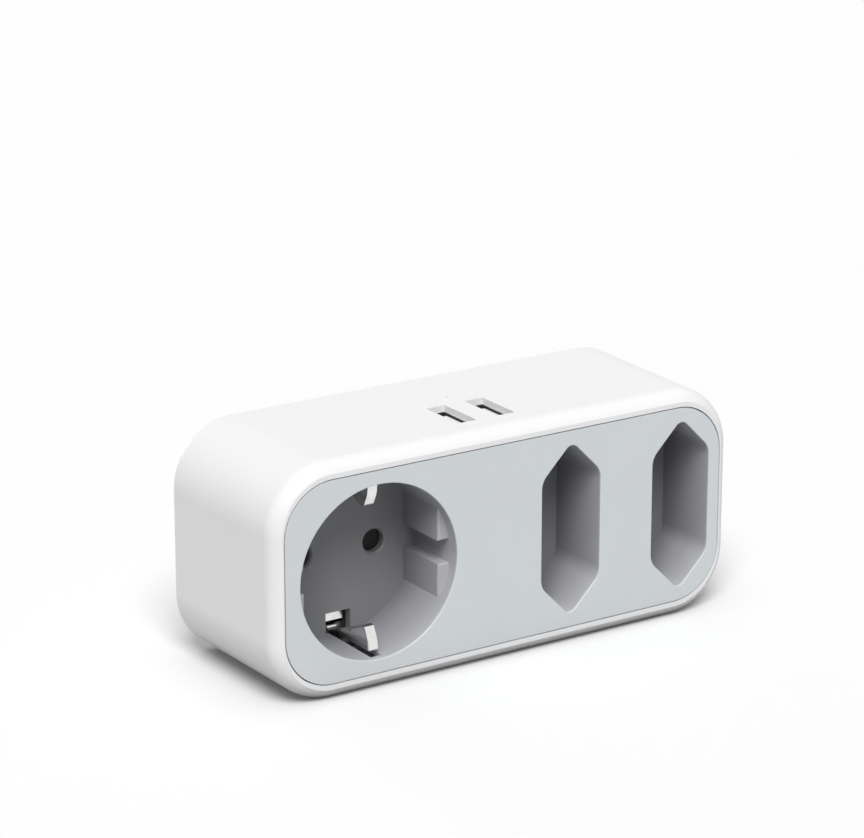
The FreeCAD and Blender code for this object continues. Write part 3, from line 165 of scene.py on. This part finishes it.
def floor():
    """Pale floor that takes the shadow and is white where no shadow falls, with painted shade near the
    object.
    """
    material = bpy.data.materials.new("studio_floor")
    material.use_nodes = True
    nodes = material.node_tree.nodes
    links = material.node_tree.links
    nodes.clear()
    seen = nodes.new("ShaderNodeBsdfDiffuse")
    # Painted contact shadow on the colour the floor shows
    links.new(painted_shade_close_by(nodes, links, FLOOR_COLOR, PAINTED_SHADOW_REACH, PAINTED_SHADOW_POWER),
              seen.inputs["Color"])
    lighting = nodes.new("ShaderNodeBsdfDiffuse")
    # Painted shade on the light the floor returns, near the object
    links.new(painted_shade_close_by(nodes, links, FLOOR_BOUNCE, BOUNCE_PAINTED_SHADE_REACH, BOUNCE_PAINTED_SHADE_POWER),
              lighting.inputs["Color"])
    matt = nodes.new("ShaderNodeMixShader")
    links.new(seen_directly(nodes, links), matt.inputs["Fac"])
    links.new(lighting.outputs[0], matt.inputs[1])
    links.new(seen.outputs[0], matt.inputs[2])
    glow = nodes.new("ShaderNodeEmission")
    level = nodes.new("ShaderNodeMath")
    level.operation = "MULTIPLY"
    level.inputs[1].default_value = FLOOR_GLOW
    links.new(seen_directly(nodes, links), level.inputs[0])
    links.new(level.outputs[0], glow.inputs["Strength"])
    both = nodes.new("ShaderNodeAddShader")
    links.new(matt.outputs[0], both.inputs[0])
    links.new(glow.outputs[0], both.inputs[1])
    end = nodes.new("ShaderNodeOutputMaterial")
    links.new(both.outputs[0], end.inputs["Surface"])
    mesh = bpy.data.meshes.new("floor")
    reach = FLOOR_REACH
    corners = [(-reach, -reach, 0), (reach, -reach, 0), (reach, reach, 0), (-reach, reach, 0)]
    mesh.from_pydata(corners, [], [(0, 1, 2, 3)])
    mesh.materials.append(material)
    plane = bpy.data.objects.new("floor", mesh)
    bpy.context.scene.collection.objects.link(plane)
    plane.location.z = -FLOOR_DROP


# Finishes

NOISE_LOW = 0.3
NOISE_HIGH = 0.7
COLOUR_DETAIL = 3.0
SURFACE_DETAIL = 2.0
ROUGH_SHARE = 0.4

# Painted shade in the wells: depths with the share of the panel's colour left there, which gets warmer
WELL_PAINTED_SHADE = ((-20.6, 1.0), (-20.1, 0.75), (-14.0, 0.57), (-8.0, 0.43), (-3.8, 0.34))
WELL_PAINTED_SHADE_TINT = (1.0, 0.957, 0.971)


def paint_shade_by_depth(nodes, links, place, painted_shade, color):
    """Paints shade into a colour: multiplies it by the shares listed for its values of Y."""
    front = painted_shade[0][0]
    back = painted_shade[-1][0]
    apart = nodes.new("ShaderNodeSeparateXYZ")
    links.new(place, apart.inputs["Vector"])
    depth = nodes.new("ShaderNodeMapRange")
    depth.inputs["From Min"].default_value = front * MM
    depth.inputs["From Max"].default_value = back * MM
    links.new(apart.outputs["Y"], depth.inputs["Value"])
    shares = nodes.new("ShaderNodeValToRGB")
    stops = shares.color_ramp.elements
    stops[1].color = (*(painted_shade[-1][1] * channel for channel in WELL_PAINTED_SHADE_TINT), 1.0)
    for y, share in painted_shade[1:-1]:
        stop = stops.new((y - front) / (back - front))
        stop.color = (*(share * channel for channel in WELL_PAINTED_SHADE_TINT), 1.0)
    stops[0].color = (1.0, 1.0, 1.0, 1.0)
    links.new(depth.outputs["Result"], shares.inputs["Fac"])
    darker = nodes.new("ShaderNodeVectorMath")
    darker.operation = "MULTIPLY"
    links.new(color, darker.inputs[0])
    links.new(shares.outputs["Color"], darker.inputs[1])
    return darker.outputs["Vector"]


def finish(name, color, rough, metallic=0.0, mottle=0.03, mottle_size=14.0, rough_swing=0.04,
           grain=0.02, grain_size=0.35, stretch=(1.0, 1.0, 1.0), coat=0.0, specular=0.5,
           transmission=0.0, painted_shade=None):
    """Procedural finish. Sizes are in millimetres, and grain is the height of the bumps.

    The painted shade, where it is given, lists values of Y with the share of the colour left there, darker
    deeper in the wells.
    """
    material = bpy.data.materials.new(name)
    material.use_nodes = True
    nodes = material.node_tree.nodes
    links = material.node_tree.links
    shader = nodes["Principled BSDF"]
    shader.inputs["Metallic"].default_value = metallic
    shader.inputs["Coat Weight"].default_value = coat
    shader.inputs["Specular IOR Level"].default_value = specular
    shader.inputs["Transmission Weight"].default_value = transmission
    place = nodes.new("ShaderNodeTexCoord")
    scaled = nodes.new("ShaderNodeMapping")
    scaled.inputs["Scale"].default_value = stretch
    links.new(place.outputs["Object"], scaled.inputs["Vector"])

    def noise(size, detail):
        field = nodes.new("ShaderNodeTexNoise")
        field.inputs["Scale"].default_value = 1 / (size * MM)
        field.inputs["Detail"].default_value = detail
        links.new(scaled.outputs["Vector"], field.inputs["Vector"])
        return field.outputs["Fac"]

    shades = nodes.new("ShaderNodeValToRGB")
    ends = shades.color_ramp.elements
    ends[0].position = NOISE_LOW
    ends[1].position = NOISE_HIGH
    ends[0].color = (*(channel * (1 - mottle) for channel in color), 1.0)
    ends[1].color = (*(min(1.0, channel * (1 + mottle)) for channel in color), 1.0)
    links.new(noise(mottle_size, COLOUR_DETAIL), shades.inputs["Fac"])
    base = shades.outputs["Color"]
    # Painted shade: the colour gets darker deeper in the wells
    if painted_shade:
        base = paint_shade_by_depth(nodes, links, place.outputs["Object"], painted_shade, base)
    links.new(base, shader.inputs["Base Color"])

    swing = nodes.new("ShaderNodeMapRange")
    swing.inputs["From Min"].default_value = NOISE_LOW
    swing.inputs["From Max"].default_value = NOISE_HIGH
    swing.inputs["To Min"].default_value = rough - rough_swing
    swing.inputs["To Max"].default_value = rough + rough_swing
    links.new(noise(mottle_size * ROUGH_SHARE, SURFACE_DETAIL), swing.inputs["Value"])
    links.new(swing.outputs["Result"], shader.inputs["Roughness"])

    if grain:
        bumps = nodes.new("ShaderNodeBump")
        bumps.inputs["Strength"].default_value = 1.0
        bumps.inputs["Distance"].default_value = grain * MM
        links.new(noise(grain_size, SURFACE_DETAIL), bumps.inputs["Height"])
        links.new(bumps.outputs["Normal"], shader.inputs["Normal"])
    return material


FINISHES = {
    "shell_white": dict(color=(0.90, 0.90, 0.905), rough=0.34, mottle=0.006, grain=0.004,
                        grain_size=0.25),
    # The panel's grey carries painted shade, darker deeper in the wells
    "panel_grey": dict(color=(0.70, 0.735, 0.76), rough=0.50, mottle=0.010, grain=0.010,
                       grain_size=0.22, painted_shade=WELL_PAINTED_SHADE),
    "cover_white": dict(color=(0.86, 0.86, 0.87), rough=0.45, mottle=0.010, grain=0.008,
                        grain_size=0.25),
    "plated_metal": dict(color=(0.77, 0.77, 0.765), rough=0.20, metallic=1.0, mottle=0.04,
                         mottle_size=5.0, rough_swing=0.05, grain=0.002, grain_size=0.15,
                         stretch=(3.0, 0.3, 3.0)),
    "brass_strip": dict(color=(0.80, 0.58, 0.27), rough=0.33, metallic=1.0, mottle=0.10,
                        mottle_size=6.0, rough_swing=0.08, grain=0.003, grain_size=0.2,
                        stretch=(0.3, 3.0, 3.0)),
    "steel_screw": dict(color=(0.56, 0.56, 0.57), rough=0.30, metallic=1.0, mottle=0.08,
                        mottle_size=2.0, grain=0.003, grain_size=0.15),
    "black_plastic": dict(color=(0.010, 0.010, 0.011), rough=0.55, mottle=0.15, grain=0.010,
                          specular=0.3),
    "white_plastic": dict(color=(0.84, 0.84, 0.82), rough=0.40, mottle=0.015, grain=0.005),
    "board_green": dict(color=(0.03, 0.17, 0.07), rough=0.30, mottle=0.25, mottle_size=2.5,
                        grain=0.015, grain_size=0.9, coat=0.3),
    "sleeve_steel": dict(color=(0.30, 0.30, 0.30), rough=0.35, metallic=1.0, mottle=0.06,
                         mottle_size=4.0, grain=0.002, grain_size=0.2, stretch=(1.0, 1.0, 0.2)),
    "gold_plate": dict(color=(0.90, 0.67, 0.25), rough=0.22, metallic=1.0, mottle=0.06,
                       mottle_size=2.0, grain=0.001),
    "ferrite": dict(color=(0.055, 0.055, 0.060), rough=0.55, mottle=0.20, mottle_size=2.0,
                    grain=0.020, grain_size=0.4),
    "winding_tape": dict(color=(0.80, 0.58, 0.08), rough=0.28, mottle=0.06, mottle_size=5.0,
                         grain=0.030, grain_size=1.2, stretch=(1.0, 1.0, 0.1)),
    "can_sleeve": dict(color=(0.03, 0.055, 0.13), rough=0.25, mottle=0.10, mottle_size=4.0,
                       grain=0.004),
    "lamp_clear": dict(color=(0.50, 0.52, 0.53), rough=0.15, mottle=0.02, grain=0.002,
                       transmission=0.2),
    "red_insulation": dict(color=(0.45, 0.03, 0.02), rough=0.35, mottle=0.08, grain=0.006),
    "blue_insulation": dict(color=(0.03, 0.08, 0.40), rough=0.35, mottle=0.08, grain=0.006),
}


def dress_nodes():
    """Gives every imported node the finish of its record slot."""
    finishes = {slot: finish(slot, **values) for slot, values in FINISHES.items()}
    for subpart in frame["record"]["subparts"]:
        node = frame["nodes"][subpart["node"]]
        node.data.materials.clear()
        node.data.materials.append(finishes[subpart["material_slot"]])
    return finishes


# Meshes of the small pieces. Sizes and places are in millimetres, angles in degrees.

TURNED_SHARP = 35.0
WIRE_SHARP = 60.0
BLOCK_SHARP = 50.0
LEG_SHARP = 20.0


def add_piece(name, mesh, slot, body="housing", stands_for=None):
    piece = bpy.data.objects.new(name, mesh)
    bpy.context.scene.collection.objects.link(piece)
    mesh.materials.append(finishes[slot])
    if stands_for:
        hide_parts(stands_for)
    if body:
        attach(piece, body)
    return piece


def as_mesh(name, points, faces, sharp):
    mesh = bpy.data.meshes.new(name)
    mesh.from_pydata([Vector(point) * MM for point in points], [], faces)
    mesh.polygons.foreach_set("use_smooth", [True] * len(faces))
    mesh.set_sharp_from_angle(angle=math.radians(sharp))
    mesh.validate()
    return mesh


def skin(rings, around):
    """Faces that join rings of points, with a flat face over the first and the last."""
    faces = []
    for ring in range(rings - 1):
        for step in range(around):
            low = ring * around
            after = (step + 1) % around
            faces.append((low + step, low + after, low + around + after, low + around + step))
    faces.append(tuple(range(around))[::-1])
    faces.append(tuple(range((rings - 1) * around, rings * around)))
    return faces


def lathed(name, centre, axis, profile, around=40):
    """Turned form. The profile gives radius and distance along the axis from the centre."""
    frame_of = Vector(axis).to_track_quat("Z", "Y")
    points = []
    for radius, along in profile:
        for step in range(around):
            turn = 2 * math.pi * step / around
            local = Vector((radius * math.cos(turn), radius * math.sin(turn), along))
            points.append(Vector(centre) + frame_of @ local)
    return as_mesh(name, points, skin(len(profile), around), TURNED_SHARP)


def wire(name, route, radius, around=10):
    """Round wire along a route, with a closed end at both ends."""
    route = [Vector(point) for point in route]
    tangents = [(after - before).normalized() for before, after in zip(route, route[1:])]
    tangents.append(tangents[-1])
    side = tangents[0].orthogonal().normalized()
    points = []
    for place, tangent in zip(route, tangents):
        side = (side - tangent * side.dot(tangent)).normalized()
        other = tangent.cross(side)
        for step in range(around):
            turn = 2 * math.pi * step / around
            points.append(place + radius * (side * math.cos(turn) + other * math.sin(turn)))
    return as_mesh(name, points, skin(len(route), around), WIRE_SHARP)


def soft_block(name, low, high, round_edge):
    """Box with rounded edges."""
    form = bmesh.new()
    bmesh.ops.create_cube(form, size=1.0)
    low = Vector(low) * MM
    high = Vector(high) * MM
    middle = (low + high) / 2
    for vertex in form.verts:
        vertex.co = middle + vertex.co * (high - low)
    bmesh.ops.bevel(form, geom=form.edges[:], offset=round_edge * MM, segments=3, profile=0.5,
                    affect="EDGES")
    mesh = bpy.data.meshes.new(name)
    form.to_mesh(mesh)
    form.free()
    mesh.polygons.foreach_set("use_smooth", [True] * len(mesh.polygons))
    mesh.set_sharp_from_angle(angle=math.radians(BLOCK_SHARP))
    return mesh


def joined(name, meshes):
    form = bmesh.new()
    for mesh in meshes:
        form.from_mesh(mesh)
        bpy.data.meshes.remove(mesh)
    whole = bpy.data.meshes.new(name)
    form.to_mesh(whole)
    form.free()
    return whole


def box_mm(node):
    low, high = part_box(node)
    return Vector(low) / MM, Vector(high) / MM


# Springs

SPRING_WIRE = 0.13
SPRING_TURNS = 11
SPRING_PITCH = 2.6
TURN_SPRING_WIRE = 0.09
TURN_SPRING_TURNS = 2.25
TURN_SPRING_STEPS = 40


def helix(centre, axis, across, radius, length, turns, dead=1.0, steps=24):
    """Route of a coil spring, its first and last turns close together."""
    axis = Vector(axis)
    across = Vector(across)
    other = axis.cross(across)
    count = int(turns * steps)
    pitch = SPRING_PITCH * SPRING_WIRE
    route = []
    for step in range(count + 1):
        turn = step / steps
        if turn < dead:
            along = pitch * turn
        elif turn > turns - dead:
            along = length - pitch * (turns - turn)
        else:
            open_part = (turn - dead) / (turns - 2 * dead)
            along = pitch * dead + open_part * (length - 2 * pitch * dead)
        angle = 2 * math.pi * turn
        spoke = across * math.cos(angle) + other * math.sin(angle)
        route.append(Vector(centre) + axis * along + spoke * radius)
    return route


def shutter_springs():
    """Push springs of the two sliding shutters."""
    for side, sign in (("left", 1), ("right", -1)):
        low, high = box_mm(f"euro_spring_{side}")
        middle = (low + high) / 2
        radius = (high.z - low.z) / 2 - SPRING_WIRE
        moving = low.x if sign > 0 else high.x
        start = (moving + sign * SPRING_WIRE, middle.y, middle.z)
        length = high.x - low.x - 2 * SPRING_WIRE
        route = helix(start, (sign, 0, 0), (0, 0, 1), radius, length, SPRING_TURNS)
        spring = add_piece(f"coil_spring_{side}", wire(f"coil_spring_{side}", route, SPRING_WIRE),
                           "steel_screw", stands_for=f"euro_spring_{side}")
        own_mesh(spring)


def turning_spring():
    """Spring round the turning shutter's pivot."""
    low, high = box_mm("schuko_shutter_spring")
    middle = (low + high) / 2
    radius = (high.x - low.x) / 2 - 2 * TURN_SPRING_WIRE
    count = int(TURN_SPRING_TURNS * TURN_SPRING_STEPS)
    route = []
    for step in range(count + 1):
        share = step / count
        turn = 2 * math.pi * step / TURN_SPRING_STEPS
        along = low.y + TURN_SPRING_WIRE + share * (high.y - low.y - 2 * TURN_SPRING_WIRE)
        route.append((middle.x + radius * math.cos(turn), along, middle.z + radius * math.sin(turn)))
    coil = add_piece("turning_spring", wire("turning_spring", route, TURN_SPRING_WIRE),
                     "steel_screw", stands_for="schuko_shutter_spring", body=None)
    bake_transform(coil)


# Charger electronics under and on the board

CAN_GROOVE = 0.35
CAN_EDGE = 0.5
CAN_RIM = 0.7
SCORE_TURNS = (0, 60, 120)
SCORE_SHARE = 0.75
SCORE_WIRE = 0.08


def can(name, middle, radius, board_side, far_end):
    """Capacitor can hanging from the board: sleeve with a groove, and a bare metal end."""
    tall = board_side - far_end
    sleeve = [(radius - CAN_EDGE, 0.0), (radius - 0.1, 0.15), (radius, 0.5), (radius, 1.3),
              (radius - CAN_GROOVE, 1.7), (radius - CAN_GROOVE, 1.9), (radius, 2.3),
              (radius, tall - CAN_EDGE), (radius - 0.12, tall - 0.15),
              (radius - CAN_EDGE, tall), (radius - CAN_RIM, tall), (radius - CAN_RIM, tall - 0.2)]
    place = (middle.x, middle.y, board_side)
    body = lathed(f"{name}_sleeve", place, (0, 0, -1), sleeve)
    bare = radius - CAN_RIM
    lid = lathed(f"{name}_lid", place, (0, 0, -1),
                 [(bare, tall - 0.6), (bare, tall - 0.22), (bare - 0.2, tall - 0.12), (0.05, tall - 0.10)])
    arms = []
    for turn in SCORE_TURNS:
        angle = math.radians(turn)
        reach = Vector((math.cos(angle), math.sin(angle), 0)) * bare * SCORE_SHARE
        level = Vector((middle.x, middle.y, far_end + 0.12))
        arms.append(wire(f"{name}_score", (level - reach, level + reach), SCORE_WIRE, around=6))
    return body, joined(f"{name}_end", [lid, *arms])


def capacitors():
    low, high = box_mm("input_capacitors")
    radius = (high.y - low.y) / 2
    sleeves = []
    ends = []
    for x in (low.x + radius, high.x - radius):
        middle = Vector((x, (low.y + high.y) / 2, 0))
        sleeve, end = can("input_can", middle, radius, high.z, low.z)
        sleeves.append(sleeve)
        ends.append(end)
    add_piece("input_cans", joined("input_cans", sleeves), "can_sleeve", stands_for="input_capacitors")
    add_piece("input_can_ends", joined("input_can_ends", ends), "steel_screw")
    low, high = box_mm("output_capacitor")
    sleeve, end = can("output_can", (low + high) / 2, (high.y - low.y) / 2, high.z, low.z)
    add_piece("output_can", sleeve, "can_sleeve", stands_for="output_capacitor")
    add_piece("output_can_end", end, "steel_screw")


LEG_STRAIGHT = 0.35
LEG_BEND = 0.2
LEG_LONG = 1.0
LEG_THICK = 0.18
LEG_FOOT = 0.02
LEG_LEVEL = 0.55
PACKAGE_STAND = 0.15
PACKAGE_EDGE = 0.18


def bent_leg(name, root, out, width, thick, drop):
    """Flat leg that leaves a package sideways, bends down and ends in a foot."""
    out = Vector(out)
    along = Vector((0, 0, 1)).cross(out)
    path = ((0.0, 0.0), (LEG_STRAIGHT, 0.0), (LEG_STRAIGHT + LEG_BEND, -drop), (LEG_LONG, -drop))
    points = []
    for run, rise in path:
        for lift in (0.0, thick):
            for side in (-width / 2, width / 2):
                points.append(Vector(root) + out * run + along * side + Vector((0, 0, rise + lift)))
    faces = [(0, 2, 3, 1), (12, 13, 15, 14)]
    for step in range(len(path) - 1):
        a = 4 * step
        b = a + 4
        faces += [(a, a + 1, b + 1, b), (a + 2, b + 2, b + 3, a + 3),
                  (a, b, b + 2, a + 2), (a + 1, a + 3, b + 3, b + 1)]
    return as_mesh(name, points, faces, LEG_SHARP)


def package(node, name, legs, leg_wide, long_axis):
    """Moulded package on the board, with rows of bent legs on its two long sides."""
    low, high = box_mm(node)
    body = soft_block(f"{name}_body", (low.x, low.y, low.z + PACKAGE_STAND), high, PACKAGE_EDGE)
    add_piece(name, body, "black_plastic", stands_for=node)
    feet = []
    level = low.z + LEG_LEVEL * (high.z - low.z)
    drop = level - low.z - LEG_FOOT
    for number in range(legs):
        share = (number + 0.5) / legs
        for sign in (-1, 1):
            if long_axis == "x":
                root = (low.x + share * (high.x - low.x), high.y if sign > 0 else low.y, level)
                out = (0, sign, 0)
            else:
                root = (high.x if sign > 0 else low.x, low.y + share * (high.y - low.y), level)
                out = (sign, 0, 0)
            feet.append(bent_leg(f"{name}_leg", root, out, leg_wide, LEG_THICK, drop))
    add_piece(f"{name}_legs", joined(f"{name}_legs", feet), "steel_screw")


BAND_SLOTS = ("red_insulation", "gold_plate", "black_plastic")
BAND_FIRST = 2.0
BAND_PITCH = 0.9
BAND_WIDE = 0.4
BAND_PROUD = 0.03
FUSE_WAIST = 0.86
FUSE_WIRE = 0.3
FUSE_BEND = 0.7
FUSE_DROP = 1.9


def fuse_piece():
    """Fuse resistor: a waisted body with rings, its wires bent down to the board."""
    low, high = box_mm("fuse_resistor")
    middle = (low + high) / 2
    radius = (high.z - low.z) / 2
    tall = high.y - low.y
    waist = radius * FUSE_WAIST
    profile = [(radius * 0.45, 0.0), (radius * 0.85, 0.18), (radius, 0.6), (radius, 1.1),
               (waist, 1.6), (waist, tall - 1.6), (radius, tall - 1.1), (radius, tall - 0.6),
               (radius * 0.85, tall - 0.18), (radius * 0.45, tall)]
    start = (middle.x, low.y, middle.z)
    add_piece("fuse_body", lathed("fuse_body", start, (0, 1, 0), profile), "white_plastic",
              stands_for="fuse_resistor")
    for number, slot in enumerate(BAND_SLOTS):
        near = BAND_FIRST + BAND_PITCH * number
        far = near + BAND_WIDE
        inner = waist * 0.9
        outer = waist + BAND_PROUD
        ring = [(inner, near), (outer, near), (outer, far), (inner, far)]
        add_piece(f"fuse_ring_{number + 1}", lathed(f"fuse_ring_{number + 1}", start, (0, 1, 0), ring),
                  slot)
    wires = []
    for end, sign in ((low.y, -1), (high.y, 1)):
        route = []
        for step in range(7):
            turn = math.radians(15 * step)
            route.append((middle.x, end + sign * FUSE_BEND * math.sin(turn),
                          middle.z - FUSE_BEND * (1 - math.cos(turn))))
        route.insert(0, (middle.x, end - sign * FUSE_WIRE, middle.z))
        route.append((middle.x, end + sign * FUSE_BEND, low.z - FUSE_DROP))
        wires.append(wire("fuse_wire", route, FUSE_WIRE))
    add_piece("fuse_wires", joined("fuse_wires", wires), "steel_screw")


FLANGE = 0.6
FLANGE_EDGE = 0.2
TAPE_INSET = 0.2
TAPE_EDGE = 1.6
PIN_COUNT = 4
PIN_INSET = 1.2
PIN_RADIUS = 0.28
PIN_PAST_UNDERSIDE = 2.3


def winding_piece():
    """Taped winding of the transformer, with the bobbin's flanges and pins."""
    low, high = box_mm("transformer_winding")
    inset = Vector((TAPE_INSET, TAPE_INSET, FLANGE))
    add_piece("winding_tape", soft_block("winding_tape", low + inset, high - inset, TAPE_EDGE),
              "winding_tape", stands_for="transformer_winding")
    flanges = [soft_block("bobbin", (low.x, low.y, z), (high.x, high.y, z + FLANGE), FLANGE_EDGE)
               for z in (low.z, high.z - FLANGE)]
    add_piece("bobbin_flanges", joined("bobbin_flanges", flanges), "black_plastic")
    pins = []
    underside = box_mm("charger_board")[0].z
    pitch = (high.x - low.x - 2 * PIN_INSET) / (PIN_COUNT - 1)
    for number in range(PIN_COUNT):
        x = low.x + PIN_INSET + number * pitch
        for y in (low.y + FLANGE, high.y - FLANGE):
            route = ((x, y, high.z - FLANGE / 2), (x, y, underside + PIN_PAST_UNDERSIDE))
            pins.append(wire("bobbin_pin", route, PIN_RADIUS))
    add_piece("bobbin_pins", joined("bobbin_pins", pins), "steel_screw")


LAMP_BASE_TALL = 0.4
LAMP_BASE_EDGE = 0.06
DOME_RADIUS = 0.6
DOME_TALL = 0.42
DOME_SINK = 0.02


def lamp_piece():
    """Surface-mounted lamp: pale base with a clear dome."""
    low, high = box_mm("power_lamp")
    base_top = low.z + LAMP_BASE_TALL
    base = soft_block("lamp_base", low, (high.x, high.y, base_top), LAMP_BASE_EDGE)
    add_piece("lamp_base", base, "white_plastic", stands_for="power_lamp")
    middle = (low + high) / 2
    dome = [(DOME_RADIUS * math.cos(math.radians(turn)), DOME_TALL * math.sin(math.radians(turn)))
            for turn in range(0, 90, 15)]
    start = (middle.x, middle.y, base_top - DOME_SINK)
    add_piece("lamp_dome", lathed("lamp_dome", start, (0, 0, 1), dome), "lamp_clear")


finishes = dress_nodes()
shutter_springs()
turning_spring()
capacitors()
package("controller_chip", "chip", legs=4, leg_wide=0.4, long_axis="x")
package("bridge_rectifier", "rectifier", legs=2, leg_wide=0.7, long_axis="y")
fuse_piece()
winding_piece()
lamp_piece()
surround()
sun_light("key_light", KEY_DIRECTION, KEY_LEVEL, KEY_SPREAD)
sun_light("back_light", BACK_DIRECTION, BACK_LEVEL, BACK_SPREAD)
floor()
view_camera()
bpy.context.scene.view_settings.view_transform = "Standard"
